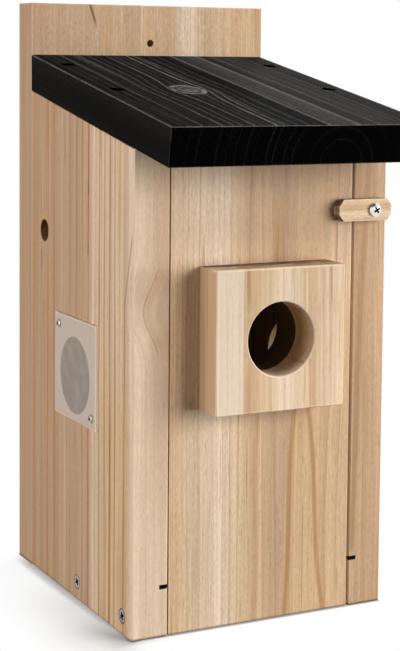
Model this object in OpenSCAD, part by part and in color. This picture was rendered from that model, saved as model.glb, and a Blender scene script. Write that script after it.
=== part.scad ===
// Wooden camera nest box: a board box with a swinging front, a guarded entrance, a turn button, light windows
// and a tilting camera under the roof. Millimetres, +X to the right, +Y to the back, +Z up.
// The origin is the middle of the base.

/* [Box] */
// Width over both side panels
box_w = 146; // [130:1:180]
// Depth of a side panel, from its front edge to the back panel
side_d = 141.5; // [130:0.5:180]
// Thickness of the sides, door, floor and back panel
board_t = 20; // [18:0.5:22]
// Height of the back panel
back_h = 321; // [310:1:360]
// Bevel on the edges that show
edge_ease = 0.8; // [0.3:0.1:1.2]
// Bevel on the edges that meet another board
seam_ease = 0.1; // [0.1:0.1:0.6]

/* [Roof] */
// Height of the back panel above the roof
back_rise = 29; // [25:1:45]
// Thickness of the roof board
roof_t = 20; // [16:0.5:24]
// Fall of the roof to the front, in degrees
roof_slope = 10; // [6:0.5:14]
// Reach of the roof's top edge past the front
roof_overhang = 42.5; // [20:0.5:60]
// Distance of the front roof screws behind the front
roof_screw_front = 44; // [35:1:60]
// Distance of the rear roof screws behind the front
roof_screw_rear = 112; // [95:1:118]

/* [Door] */
// Gap along the door's left edge
door_gap_left = 0.4; // [0.3:0.1:2]
// Gap along the door's right edge
door_gap_right = 1; // [0.3:0.1:2]
// Gap between the door's top and the roof
door_gap_top = 5; // [4:0.5:12]
// Gap between the door's bottom and the surface that the box stands on
door_gap_base = 0.5; // [0.3:0.1:2]
// Height of the door's pivot above the base
pivot_z = 10; // [9:0.5:12]
// Distance of the pivot behind the front
pivot_inset = 11.5; // [9:0.5:13]
// Bevel on the door's lower rear edge, which swings past the floor
door_bevel = 5; // [3:0.5:7]
// Least gap between the swinging door and the floor
swing_gap = 0.8; // [0.4:0.1:2]
// Number of saw kerfs inside the door that fledglings climb
ladder_count = 5; // [3:1:7]
// Step between those kerfs
ladder_step = 12; // [8:1:14]
// Length of those kerfs
ladder_w = 60; // [40:1:70]
// Height of one kerf
ladder_h = 2; // [1:0.5:3]
// Depth of one kerf
ladder_depth = 1.5; // [0.5:0.5:3]

/* [Entrance] */
// Diameter of the entrance
entry_d = 38; // [26:1:46]
// Height of the entrance's middle above the base
entry_z = 151; // [135:1:170]
// Width and height of the guard block
block_w = 73; // [68:0.5:80]
// Thickness of the guard block
block_t = 19.5; // [14:0.5:26]
// Bevel on the guard block's edges
block_ease = 0.4; // [0.2:0.1:1.2]
// Bevel round the entrance's front edge
entry_ease = 0.5; // [0.2:0.1:1]
// Distance of the guard block's screws from its edges
block_screw_inset = 9; // [8:0.5:11]

/* [Turn button] */
// Distance of the button's pivot below the roof at the front
button_drop = 33.7; // [30:0.1:50]
// Distance of the pivot from the box's right side
button_inset = 10.6; // [9:0.1:14]
// Length of the arm that holds the door, from the pivot
button_arm = 21.3; // [18:0.1:26]
// Length of the short end, from the pivot
button_tail = 10.3; // [8:0.1:12]
// Width of the button
button_w = 11.4; // [10:0.1:14]
// Thickness of the button
button_t = 5.5; // [4:0.1:10]
// Cut corners of the button, along its length
button_cut_l = 2.6; // [1:0.1:4]
// Cut corners of the button, across its width
button_cut_w = 3.5; // [1:0.1:4]
// Gap between the button and the door
button_gap = 0.3; // [0.2:0.1:1]

/* [Windows] */
// Diameter of the window holes
window_d = 41; // [30:0.5:44]
// Distance of the window's middle behind the front
window_inset = 71; // [66:0.5:76]
// Height of the window's middle above the base
window_z = 122.5; // [110:0.5:140]
// Width of a window plate
plate_w = 57; // [56:0.5:62]
// Height of a window plate
plate_h = 55; // [54:0.5:62]
// Thickness of a window plate
plate_t = 2; // [1:0.1:4]
// Height of a plate's middle above the window's middle
plate_rise = 3; // [0:0.1:3.5]
// Distance of the plate screws from the plate's edges
plate_screw_inset = 5.7; // [5:0.1:7]

/* [Holes] */
// Diameter of the cable hole
cable_d = 12; // [8:0.5:16]
// Distance of the cable hole behind the front
cable_inset = 121; // [112:0.5:123]
// Height of the cable hole above the base
cable_z = 195; // [185:0.5:205]
// Diameter of the hanging hole
hang_d = 4.2; // [3:0.1:7]
// Distance of the hanging hole below the back panel's top
hang_drop = 21.8; // [10:0.1:23]
// Diameter of the floor's drain holes
drain_d = 6; // [4:0.5:10]
// Distance of the drain holes from the floor's edges
drain_inset = 16; // [12:1:24]

/* [Raised floor] */
// Height of the saw kerfs above the base
kerf_z = 25; // [24:0.5:32]
// Height of a kerf
kerf_h = 2; // [1.5:0.1:3]
// Depth of a kerf
kerf_depth = 4.6; // [3:0.1:7]
// Thickness of the sheet in the kerfs
sheet_t = 1.6; // [0.8:0.1:1.6]
// Gap between the sheet and the ends of the kerfs
sheet_gap = 0.4; // [0.2:0.1:1]

/* [Screws] */
// Shank diameter of the wood screws
screw_d = 4; // [3:0.1:5]
// Head diameter of the wood screws
screw_head_d = 8; // [6.5:0.1:9]
// Length of the wood screws
screw_l = 40; // [36:1:44]
// Shank diameter of the button's screw
latch_screw_d = 3.5; // [3:0.1:4.5]
// Head diameter of the button's screw
latch_head_d = 7.1; // [6:0.1:8]
// Head height of the button's screw
latch_head_h = 2.6; // [2:0.1:3.5]
// Depth of the button's screw in the side panel
latch_screw_depth = 20; // [12:1:26]
// Shank diameter of the small screws
small_d = 2.5; // [2:0.1:3]
// Head diameter of the small screws
small_head_d = 4.6; // [4:0.1:5.5]
// Head height of the small screws
small_head_h = 1.2; // [1:0.1:2]
// Depth of the small screws in the wood
small_depth = 12; // [8:1:14]
// Height of the lowest back panel screws above the base
back_screw_low = 50; // [35:1:80]
// Step between the back panel's screws
back_screw_step = 85; // [70:1:90]
// Distance of the floor screws behind the front
floor_screw_inset = 72; // [60:1:90]
// Wood left in front of the guard block's screws
block_screw_cover = 4.5; // [3:0.5:8]
// Gap between a fixed screw and its hole
fit_gap = 0.05; // [0.02:0.01:0.1]
// Gap between a turning piece and its pin
run_gap = 0.08; // [0.04:0.01:0.1]

/* [Camera] */
// Width and depth of the camera housing
cam_w = 34; // [32:0.5:38]
// Height of the camera housing with its cover
cam_h = 24; // [22:0.5:30]
// Wall of the camera housing
cam_wall = 2; // [1.5:0.1:3]
// Corner radius of the camera housing
cam_corner = 4; // [3:0.5:6]
// Distance of the camera's pivot below the roof at the back panel
cam_drop = 44; // [38:1:60]
// Distance of the camera's pivot from the back panel
cam_reach = 28; // [27:0.5:36]
// Thickness of the camera's front wall
face_t = 3; // [2.5:0.1:4]
// Diameter of the dark front window
lens_window_d = 28; // [26:0.5:29]
// Thickness of the dark front window
lens_window_t = 1.5; // [1:0.1:2]
// Thickness of the rear cover
cover_t = 2; // [1.5:0.1:3]
// Depth of the rear cover's plug
cover_plug = 3; // [2:0.5:4]
// Diameter of the lens barrel
lens_d = 12; // [10:0.5:13]
// Reach of the lens barrel past the camera's front
lens_reach = 3.2; // [2.5:0.1:6]
// Diameter of the focusing grip on the lens
grip_d = 16; // [15:0.5:18]
// Height of the focusing grip
grip_h = 2.6; // [1.5:0.1:2.8]
// Number of notches in the focusing grip
grip_count = 12; // [6:1:20]
// Diameter of the lens glass
glass_d = 8.8; // [6:0.1:9]
// Thickness of a circuit board
pcb_t = 1.4; // [1:0.1:1.6]
// Number of infrared lamps
led_count = 8; // [4:1:10]
// Diameter of an infrared lamp
led_d = 3; // [2:0.1:3.2]
// Width of the threaded lens mount
mount_w = 14; // [13.5:0.1:16]
// Height of the threaded lens mount
mount_h = 8; // [6:0.5:9]
// Sheet thickness of the bracket
bracket_t = 1.5; // [1:0.1:2]
// Height of the bracket
bracket_h = 18; // [16:0.5:24]
// Gap between the bracket's ears and the camera
ear_gap = 0.3; // [0.2:0.1:0.6]
// Shank diameter of the thumb screws
thumb_d = 3; // [2.5:0.1:3.5]
// Head diameter of the thumb screws
thumb_head_d = 9; // [7:0.5:11]
// Head height of the thumb screws
thumb_head_h = 4; // [3:0.5:6]
// Bore of the cable gland
gland_bore = 4; // [3:0.1:5]
// Height of the cable gland above the cover
gland_h = 4; // [2:0.5:5]

/* [Hidden] */
$fn = 64;
overcut = 1;
screw_turn = 30;
tip_ratio = 0.8;
crown_ratio = 0.6;
recess_arm = 0.52;
recess_slot = 0.18;
recess_depth = 0.2;
window_ledge = 1.5;
board_gap = 0.3;
window_gap = 0.2;
lens_gap = 0.5;
gland_wall = 1.6;
sensor_w = 6;
sensor_t = 1;
thumb_depth = 1.2;
notch_d = 1.6;
bend_r = 2.5;

front_y = -(side_d + board_t) / 2;
back_y = front_y + side_d;
rear_y = back_y + board_t;
inner_w = box_w - 2 * board_t;
side_x = (box_w - board_t) / 2;
roof_z = back_h - back_rise;
roof_l = (side_d + roof_overhang) / cos(roof_slope);
roof_drop = roof_t / cos(roof_slope);
door_h = under_z(front_y) - door_gap_top;
door_y = front_y + board_t;
pivot_y = front_y + pivot_inset;
door_reach = max(
    norm([board_t - pivot_inset, pivot_z - door_gap_base - door_bevel]),
    norm([board_t - pivot_inset - door_bevel, pivot_z - door_gap_base]));
floor_y = pivot_y + max(door_reach, board_t - pivot_inset) + swing_gap;
button_x = box_w / 2 - button_inset;
button_z = under_z(front_y) - button_drop;
window_y = front_y + window_inset;
plate_z = window_z + plate_rise;
block_spot = block_w / 2 - block_screw_inset;
block_screw_l = board_t + block_t - block_screw_cover;
cam_y = back_y - cam_reach;
cam_z = under_z(back_y) - cam_drop;
cam_front = -cam_h / 2;
cam_inner = cam_w - 2 * cam_wall;
cover_z = cam_h / 2 - cover_t;
led_len = face_t - lens_window_t + led_d;
led_board_z = cam_front + lens_window_t + window_gap + led_len;
mount_z = led_board_z + pcb_t;
main_board_z = mount_z + mount_h;
lens_window_hole = lens_d + 2 * lens_gap;
led_circle = (lens_window_hole + lens_window_d - 2 * window_ledge) / 4;
ear_x = cam_w / 2 + ear_gap;
bracket_screw_z = bracket_h / 4;
wood = "burlywood";
dark_wood = [0.13, 0.13, 0.13];
steel = "silver";
moulding = [0.1, 0.1, 0.11];

// Height of the roof's underside at a distance y
function under_z(y) = roof_z - roof_drop - (back_y - y) * tan(roof_slope);

// Height of the roof's top at a distance y
function top_z(y) = roof_z - (back_y - y) * tan(roof_slope);

// Turns a shape's +Z to face the left, right, front or back
module face_side(side) rotate([0, side * 90, 0]) children();
module face_front() rotate([90, 0, 0]) children();
module face_back() rotate([-90, 0, 0]) children();

// Rectangle with its corners cut off
module eased_rect(a, b, e)
    polygon([[e, 0], [a - e, 0], [a, e], [a, b - e], [a - e, b], [e, b], [0, b - e], [0, e]]);

// Board with all twelve edges eased, from the origin to size
module eased_box(size, e) intersection() {
    linear_extrude(size[2]) eased_rect(size[0], size[1], e);
    translate([0, size[1], 0]) rotate([90, 0, 0]) linear_extrude(size[1]) eased_rect(size[0], size[2], e);
    rotate([90, 0, 90]) linear_extrude(size[0]) eased_rect(size[1], size[2], e);
}

// Rectangle with round corners, centred
module round_rect(w, d, r) union() {
    square([w - 2 * r, d], center = true);
    square([w, d - 2 * r], center = true);
    for (sx = [-1, 1], sy = [-1, 1])
        translate([sx * (w / 2 - r), sy * (d / 2 - r)]) circle(r);
}

// Everything above the roof's underside
module above_sides() translate([-box_w, back_y, under_z(back_y)]) rotate([roof_slope, 0, 0])
    translate([0, -2 * roof_l, 0]) cube([2 * box_w, 4 * roof_l, back_h]);

// Everything behind the front of the back panel
module behind_sides() translate([-box_w, back_y, -overcut]) cube([2 * box_w, 2 * board_t, 2 * back_h]);

// Cross recess of a screw head whose top is at the origin
module cross_recess(head_d) {
    arm = head_d * recess_arm;
    slot = head_d * recess_slot;
    deep = head_d * recess_depth;
    for (a = [0, 90]) rotate(a) translate([-arm / 2, -slot / 2, -deep]) cube([arm, slot, deep + overcut]);
}

// Shank with a pointed end, hanging down from the origin
module shank(d, l) {
    tip = d * tip_ratio;
    translate([0, 0, tip - l]) cylinder(h = l - tip, d = d);
    translate([0, 0, -l]) cylinder(h = tip, d1 = 0, d2 = d);
}

// Sunk wood screw with its head's top at the origin
module sunk_screw(l) difference() {
    union() {
        shank(screw_d, l);
        translate([0, 0, -(screw_head_d - screw_d) / 2])
            cylinder(h = (screw_head_d - screw_d) / 2, d1 = screw_d, d2 = screw_head_d);
    }
    rotate(screw_turn) cross_recess(screw_head_d);
}

// Hole for a sunk wood screw
module sunk_hole(l) {
    cone = (screw_head_d - screw_d) / 2;
    translate([0, 0, -l - fit_gap]) cylinder(h = l + fit_gap, d = screw_d + 2 * fit_gap);
    translate([0, 0, -cone]) cylinder(h = cone, d1 = screw_d + 2 * fit_gap, d2 = screw_head_d + 2 * fit_gap);
    cylinder(h = overcut, d = screw_head_d + 2 * fit_gap);
}

// Pan head screw whose head stands on the origin
module pan_screw(d, head_d, head_h, l) difference() {
    rise = head_h * crown_ratio;
    crown = (head_d * head_d / 4 + rise * rise) / (2 * rise);
    union() {
        translate([0, 0, overcut - l]) cylinder(h = l - overcut, d = d);
        translate([0, 0, -l]) cylinder(h = overcut, d1 = d / 2, d2 = d);
        intersection() {
            cylinder(h = head_h, d = head_d);
            translate([0, 0, head_h - crown]) sphere(crown);
        }
    }
    translate([0, 0, head_h]) rotate(screw_turn) cross_recess(head_d);
}

// Plain hole for a pan head screw, from above the origin down to a depth
module pan_hole(d, l) translate([0, 0, -l - fit_gap])
    cylinder(h = l + fit_gap + overcut, d = d + 2 * fit_gap);

// Places of the screws, each with its head facing out
module at_roof_screws() for (side = [-1, 1], inset = [roof_screw_front, roof_screw_rear])
    translate([side * side_x, front_y + inset, top_z(front_y + inset)]) rotate([roof_slope, 0, 0]) children();
module at_back_screws() for (side = [-1, 1], i = [0 : 2])
    translate([side * side_x, rear_y, back_screw_low + i * back_screw_step]) face_back() children();
module at_floor_screws() for (side = [-1, 1])
    translate([side * box_w / 2, front_y + floor_screw_inset, board_t / 2]) face_side(side) children();
module at_pivots() for (side = [-1, 1])
    translate([side * box_w / 2, pivot_y, pivot_z]) face_side(side) children();
module at_block_screws() for (sx = [-1, 1], sz = [-1, 1])
    translate([sx * block_spot, door_y, entry_z + sz * block_spot]) face_back() children();
module at_button() translate([button_x, front_y - button_gap, button_z]) face_front() children();
module at_plate_screws(side) for (s = [-1, 1]) translate([
    side * box_w / 2,
    window_y + s * (plate_w / 2 - plate_screw_inset),
    plate_z + s * (plate_h / 2 - plate_screw_inset)]) face_side(side) children();
module at_camera() translate([0, cam_y, cam_z]) children();
module at_bracket_screws() for (s = [-1, 1])
    translate([0, cam_reach - bracket_t, s * bracket_screw_z]) face_front() children();

// Saw kerf in the inner face of a side panel, open at the front
module kerf(side) translate([side * (inner_w + kerf_depth) / 2, (front_y + back_y) / 2, kerf_z + kerf_h / 2])
    cube([kerf_depth, side_d + 2 * overcut, kerf_h], center = true);

module side_panel(side) difference() {
    translate([side * side_x - board_t / 2, front_y, 0])
        eased_box([board_t, side_d + 2 * edge_ease, back_h], edge_ease);
    behind_sides();
    above_sides();
    kerf(side);
    translate([side * side_x, window_y, window_z]) rotate([0, 90, 0])
        cylinder(h = board_t + 2 * overcut, d = window_d, center = true);
    at_roof_screws() sunk_hole(screw_l);
    at_back_screws() sunk_hole(screw_l);
    at_floor_screws() sunk_hole(screw_l);
    at_pivots() sunk_hole(screw_l);
    at_plate_screws(side) pan_hole(small_d, small_depth);
}

module back_panel() color(wood) difference() {
    translate([-box_w / 2, back_y, 0]) eased_box([box_w, board_t, back_h], seam_ease);
    translate([0, (back_y + rear_y) / 2, back_h - hang_drop]) rotate([90, 0, 0])
        cylinder(h = board_t + 2 * overcut, d = hang_d, center = true);
    at_back_screws() sunk_hole(screw_l);
    at_camera() at_bracket_screws() pan_hole(small_d, small_depth + bracket_t);
}

module left_side_panel() color(wood) difference() {
    side_panel(-1);
    translate([-side_x, front_y + cable_inset, cable_z]) rotate([0, 90, 0])
        cylinder(h = board_t + 2 * overcut, d = cable_d, center = true);
}

module right_side_panel() color(wood) difference() {
    side_panel(1);
    at_button() pan_hole(latch_screw_d, latch_screw_depth + button_gap);
}

module floor_panel() color(wood) difference() {
    translate([-inner_w / 2, floor_y, 0]) eased_box([inner_w, back_y - floor_y, board_t], seam_ease);
    at_floor_screws() sunk_hole(screw_l);
    for (sx = [-1, 1], y = [floor_y + drain_inset, back_y - drain_inset])
        translate([sx * (inner_w / 2 - drain_inset), y, -overcut])
            cylinder(h = board_t + 2 * overcut, d = drain_d);
}

module raised_floor() color("lightgrey")
    translate([-inner_w / 2 - kerf_depth + sheet_gap, floor_y, kerf_z])
        cube([inner_w + 2 * (kerf_depth - sheet_gap), back_y - floor_y - sheet_gap, sheet_t]);

module roof_panel() color(dark_wood) difference() {
    translate([0, back_y, roof_z]) rotate([roof_slope, 0, 0])
        translate([-box_w / 2, -roof_l, -roof_t]) eased_box([box_w, roof_l + board_t, roof_t], edge_ease);
    behind_sides();
    at_roof_screws() sunk_hole(screw_l);
}

module roof_screws() color(dark_wood) at_roof_screws() sunk_screw(screw_l);
module back_panel_screws() color(steel) at_back_screws() sunk_screw(screw_l);
module floor_screws() color(steel) at_floor_screws() sunk_screw(screw_l);
module door_pivot_screws() color(steel) at_pivots() sunk_screw(screw_l);
module guard_block_screws() color(steel) at_block_screws() sunk_screw(block_screw_l);

module front_door() color(wood) difference() {
    translate([door_gap_left - inner_w / 2, front_y, door_gap_base])
        eased_box([inner_w - door_gap_left - door_gap_right, board_t, door_h - door_gap_base], seam_ease);
    translate([0, door_y, door_gap_base]) rotate([45, 0, 0])
        cube([box_w, door_bevel * sqrt(2), door_bevel * sqrt(2)], center = true);
    translate([0, front_y + board_t / 2, entry_z]) rotate([90, 0, 0])
        cylinder(h = board_t + 2 * overcut, d = entry_d, center = true);
    for (i = [1 : ladder_count])
        translate([-ladder_w / 2, door_y - ladder_depth, entry_z - block_w / 2 - i * ladder_step])
            cube([ladder_w, ladder_depth + overcut, ladder_h]);
    at_pivots() translate([0, 0, -screw_l - run_gap]) cylinder(h = screw_l, d = screw_d + 2 * run_gap);
    at_block_screws() sunk_hole(block_screw_l);
}

module guard_block() color("wheat") difference() {
    translate([-block_w / 2, front_y - block_t, entry_z - block_w / 2])
        eased_box([block_w, block_t, block_w], block_ease);
    translate([0, front_y - block_t, entry_z]) face_back() translate([0, 0, -overcut])
        cylinder(h = block_t + 2 * overcut, d = entry_d);
    translate([0, front_y - block_t, entry_z]) face_back()
        cylinder(h = entry_ease, d1 = entry_d + 2 * entry_ease, d2 = entry_d);
    at_block_screws() sunk_hole(block_screw_l);
}

module turn_button() color("tan") at_button() difference() {
    half = button_w / 2;
    flat = half - button_cut_w;
    near = button_tail - button_cut_l;
    far = button_cut_l - button_arm;
    linear_extrude(button_t) polygon([
        [-button_arm, -flat], [far, -half], [near, -half], [button_tail, -flat],
        [button_tail, flat], [near, half], [far, half], [-button_arm, flat]]);
    translate([0, 0, -overcut]) cylinder(h = button_t + 2 * overcut, d = latch_screw_d + 2 * run_gap);
}

module latch_screw() color(steel) at_button() translate([0, 0, button_t + run_gap])
    pan_screw(latch_screw_d, latch_head_d, latch_head_h, latch_screw_depth + button_gap + button_t);

module window_plate(side) color([0.85, 0.83, 0.8, 0.6]) difference() {
    translate([(side * (box_w + plate_t) - plate_t) / 2, window_y - plate_w / 2, plate_z - plate_h / 2])
        eased_box([plate_t, plate_w, plate_h], seam_ease);
    at_plate_screws(side) translate([0, 0, plate_t]) pan_hole(small_d, small_depth);
}
module left_window_plate() window_plate(-1);
module right_window_plate() window_plate(1);

module window_screws() color(steel) for (side = [-1, 1])
    at_plate_screws(side) translate([0, 0, plate_t]) small_screw(small_depth);

// Small pan head screw whose head stands on the origin
module small_screw(l) pan_screw(small_d, small_head_d, small_head_h, l);

module camera_bracket() color(steel) at_camera() difference() {
    outer = 2 * (ear_x + bracket_t);
    deep = cam_reach + bracket_h / 2;
    intersection() {
        translate([0, cam_reach - deep / 2, -bracket_h]) linear_extrude(2 * bracket_h) difference() {
            round_rect(outer, deep, bend_r);
            translate([0, -bracket_t]) round_rect(2 * ear_x, deep, bend_r - bracket_t);
        }
        translate([-outer, 0, 0]) rotate([90, 0, 90]) linear_extrude(2 * outer) union() {
            circle(d = bracket_h);
            translate([0, -bracket_h / 2]) square([cam_reach, bracket_h]);
        }
    }
    rotate([0, 90, 0]) cylinder(h = 2 * outer, d = thumb_d + 2 * run_gap, center = true);
    at_bracket_screws() pan_hole(small_d, small_depth);
}

module bracket_screws() color(steel) at_camera() at_bracket_screws() small_screw(small_depth);

module tilt_screws() color(moulding) at_camera() for (side = [-1, 1])
    face_side(side) translate([0, 0, ear_x + bracket_t + run_gap]) {
        cylinder(h = thumb_head_h, d = thumb_head_d);
        long = ear_gap + bracket_t + run_gap + cam_wall + thumb_depth;
        translate([0, 0, -long]) cylinder(h = long + thumb_head_h / 2, d = thumb_d);
    }

module camera_housing() color(moulding) at_camera() difference() {
    translate([0, 0, cam_front]) linear_extrude(cam_h - cover_t) round_rect(cam_w, cam_w, cam_corner);
    translate([0, 0, cam_front + face_t]) linear_extrude(cam_h)
        round_rect(cam_inner, cam_inner, cam_corner - cam_wall);
    translate([0, 0, cam_front - overcut])
        cylinder(h = lens_window_t + overcut, d = lens_window_d + 2 * fit_gap);
    translate([0, 0, cam_front]) cylinder(h = cam_h / 2, d = lens_window_d - 2 * window_ledge);
    rotate([0, 90, 0]) cylinder(h = 2 * cam_w, d = thumb_d + 2 * fit_gap, center = true);
}

module camera_rear_cover() color(moulding) at_camera() difference() {
    union() {
        translate([0, 0, cover_z]) linear_extrude(cover_t) round_rect(cam_w, cam_w, cam_corner);
        translate([0, 0, cover_z - cover_plug]) linear_extrude(cover_plug + cover_t / 2) difference() {
            round_rect(cam_inner - 2 * fit_gap, cam_inner - 2 * fit_gap, cam_corner - cam_wall);
            square(cam_inner - 2 * cam_wall, center = true);
        }
    }
    translate([0, 0, cover_z - overcut]) cylinder(h = cover_t + 2 * overcut, d = gland_bore + 2 * gland_wall);
}

module cable_gland() color(moulding) at_camera() translate([0, 0, cover_z]) rotate_extrude() polygon([
    [gland_bore / 2, 0], [gland_bore / 2 + gland_wall - fit_gap, 0],
    [gland_bore / 2 + gland_wall - fit_gap, cover_t], [gland_bore / 2 + 2 * gland_wall, cover_t],
    [gland_bore / 2 + 2 * gland_wall, cover_t + gland_wall], [gland_bore / 2 + gland_wall, cover_t + gland_h],
    [gland_bore / 2, cover_t + gland_h]]);

module camera_front_window() color([0.05, 0.03, 0.05, 0.7]) at_camera() difference() {
    translate([0, 0, cam_front]) cylinder(h = lens_window_t, d = lens_window_d);
    translate([0, 0, cam_front - overcut]) cylinder(h = lens_window_t + 2 * overcut, d = lens_window_hole);
}

// Outline of a circuit board that fits in the housing
module board_outline()
    round_rect(cam_inner - 2 * board_gap, cam_inner - 2 * board_gap, cam_corner - cam_wall);

module led_board() color("darkgreen") at_camera() translate([0, 0, led_board_z]) difference() {
    linear_extrude(pcb_t) board_outline();
    translate([0, 0, -overcut]) cylinder(h = pcb_t + 2 * overcut, d = lens_window_hole);
}

module infrared_leds() color([0.7, 0.75, 0.85, 0.7]) at_camera() for (i = [0 : led_count - 1])
    rotate(360 * i / led_count) translate([led_circle, 0, led_board_z - led_len]) {
        translate([0, 0, led_d / 2]) cylinder(h = led_len - led_d / 2, d = led_d);
        translate([0, 0, led_d / 2]) sphere(d = led_d);
    }

module main_board() color("darkgreen") at_camera() translate([0, 0, main_board_z])
    linear_extrude(pcb_t) board_outline();

module image_sensor() color("dimgray") at_camera() translate([0, 0, main_board_z - sensor_t / 2])
    cube([sensor_w, sensor_w, sensor_t], center = true);

module lens_mount() color(moulding) at_camera() translate([0, 0, mount_z]) difference() {
    translate([0, 0, mount_h / 2]) cube([mount_w, mount_w, mount_h], center = true);
    translate([0, 0, -overcut]) cylinder(h = mount_h + 2 * overcut, d = lens_d + 2 * run_gap);
}

module lens_barrel() color(moulding) at_camera() translate([0, 0, cam_front - lens_reach]) difference() {
    union() {
        cylinder(h = main_board_z - 2 * sensor_t - cam_front + lens_reach, d = lens_d);
        cylinder(h = grip_h, d = grip_d);
    }
    translate([0, 0, -overcut]) cylinder(h = grip_h + overcut, d = glass_d + 2 * fit_gap);
    cylinder(h = cam_h, d = glass_d - window_ledge);
    for (i = [0 : grip_count - 1]) rotate(360 * i / grip_count) translate([grip_d / 2, 0, -overcut])
        cylinder(h = grip_h + 2 * overcut, d = notch_d);
}

module lens_glass() color([0.3, 0.35, 0.5, 0.6]) at_camera() intersection() {
    translate([0, 0, cam_front - lens_reach]) cylinder(h = grip_h, d = glass_d);
    translate([0, 0, cam_front - lens_reach + glass_d]) sphere(d = 2 * glass_d);
}

back_panel();
left_side_panel();
right_side_panel();
floor_panel();
raised_floor();
roof_panel();
roof_screws();
back_panel_screws();
floor_screws();
door_pivot_screws();
front_door();
guard_block();
guard_block_screws();
turn_button();
latch_screw();
left_window_plate();
right_window_plate();
window_screws();
camera_bracket();
bracket_screws();
tilt_screws();
camera_housing();
camera_rear_cover();
cable_gland();
camera_front_window();
led_board();
infrared_leds();
main_board();
image_sensor();
lens_mount();
lens_barrel();
lens_glass();
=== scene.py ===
import math
from types import SimpleNamespace

import bpy
from mathutils import Euler, Matrix, Vector


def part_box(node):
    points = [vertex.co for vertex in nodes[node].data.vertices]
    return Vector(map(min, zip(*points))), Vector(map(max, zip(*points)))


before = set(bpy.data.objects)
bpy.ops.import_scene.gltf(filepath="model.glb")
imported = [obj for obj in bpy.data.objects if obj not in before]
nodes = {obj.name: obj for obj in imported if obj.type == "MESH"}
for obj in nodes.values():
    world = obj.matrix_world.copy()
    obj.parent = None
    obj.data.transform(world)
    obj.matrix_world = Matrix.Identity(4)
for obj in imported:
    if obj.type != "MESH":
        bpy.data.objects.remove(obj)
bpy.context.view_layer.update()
scene = bpy.context.scene
scene.view_settings.view_transform = "Standard"
perMetre = 1000.0  # patterns are written in millimetres
print("frame loaded:", len(nodes), "nodes")

# camera of the photograph: place in metres, yaw, pitch and roll in degrees, lens and its axis in pixels
photoView = dict(
    place=(-0.397326, -0.810898, 0.292349),
    turn=(-27.715, -4.418, 1.622),
    focalPixels=1639.419,
    axisPixels=(240, 190),
    imagePixels=(400, 651),
    sensorWidth=36,
    clip=(0.01, 50),
)


def aimCamera(view):
    # it starts out looking along +Y, then yaws about Z, pitches about X and rolls about Y
    yaw, pitch, roll = (math.radians(angle) for angle in view["turn"])
    turn = (Matrix.Rotation(roll, 3, "Y") @ Matrix.Rotation(pitch, 3, "X")
            @ Matrix.Rotation(yaw, 3, "Z"))
    right, ahead, up = turn.col
    data = bpy.data.cameras.new("photoCamera")
    camera = bpy.data.objects.new("photoCamera", data)
    scene.collection.objects.link(camera)
    axes = Matrix((right, up, -ahead)).transposed()
    camera.matrix_world = Matrix.Translation(view["place"]) @ axes.to_4x4()
    width, height = view["imagePixels"]
    longSide = max(width, height)
    data.sensor_width = view["sensorWidth"]
    data.lens = view["focalPixels"] / longSide * view["sensorWidth"]
    data.shift_x = (width / 2 - view["axisPixels"][0]) / longSide
    data.shift_y = (view["axisPixels"][1] - height / 2) / longSide
    data.clip_start, data.clip_end = view["clip"]
    scene.camera = camera


aimCamera(photoView)
print("camera aimed")


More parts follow.
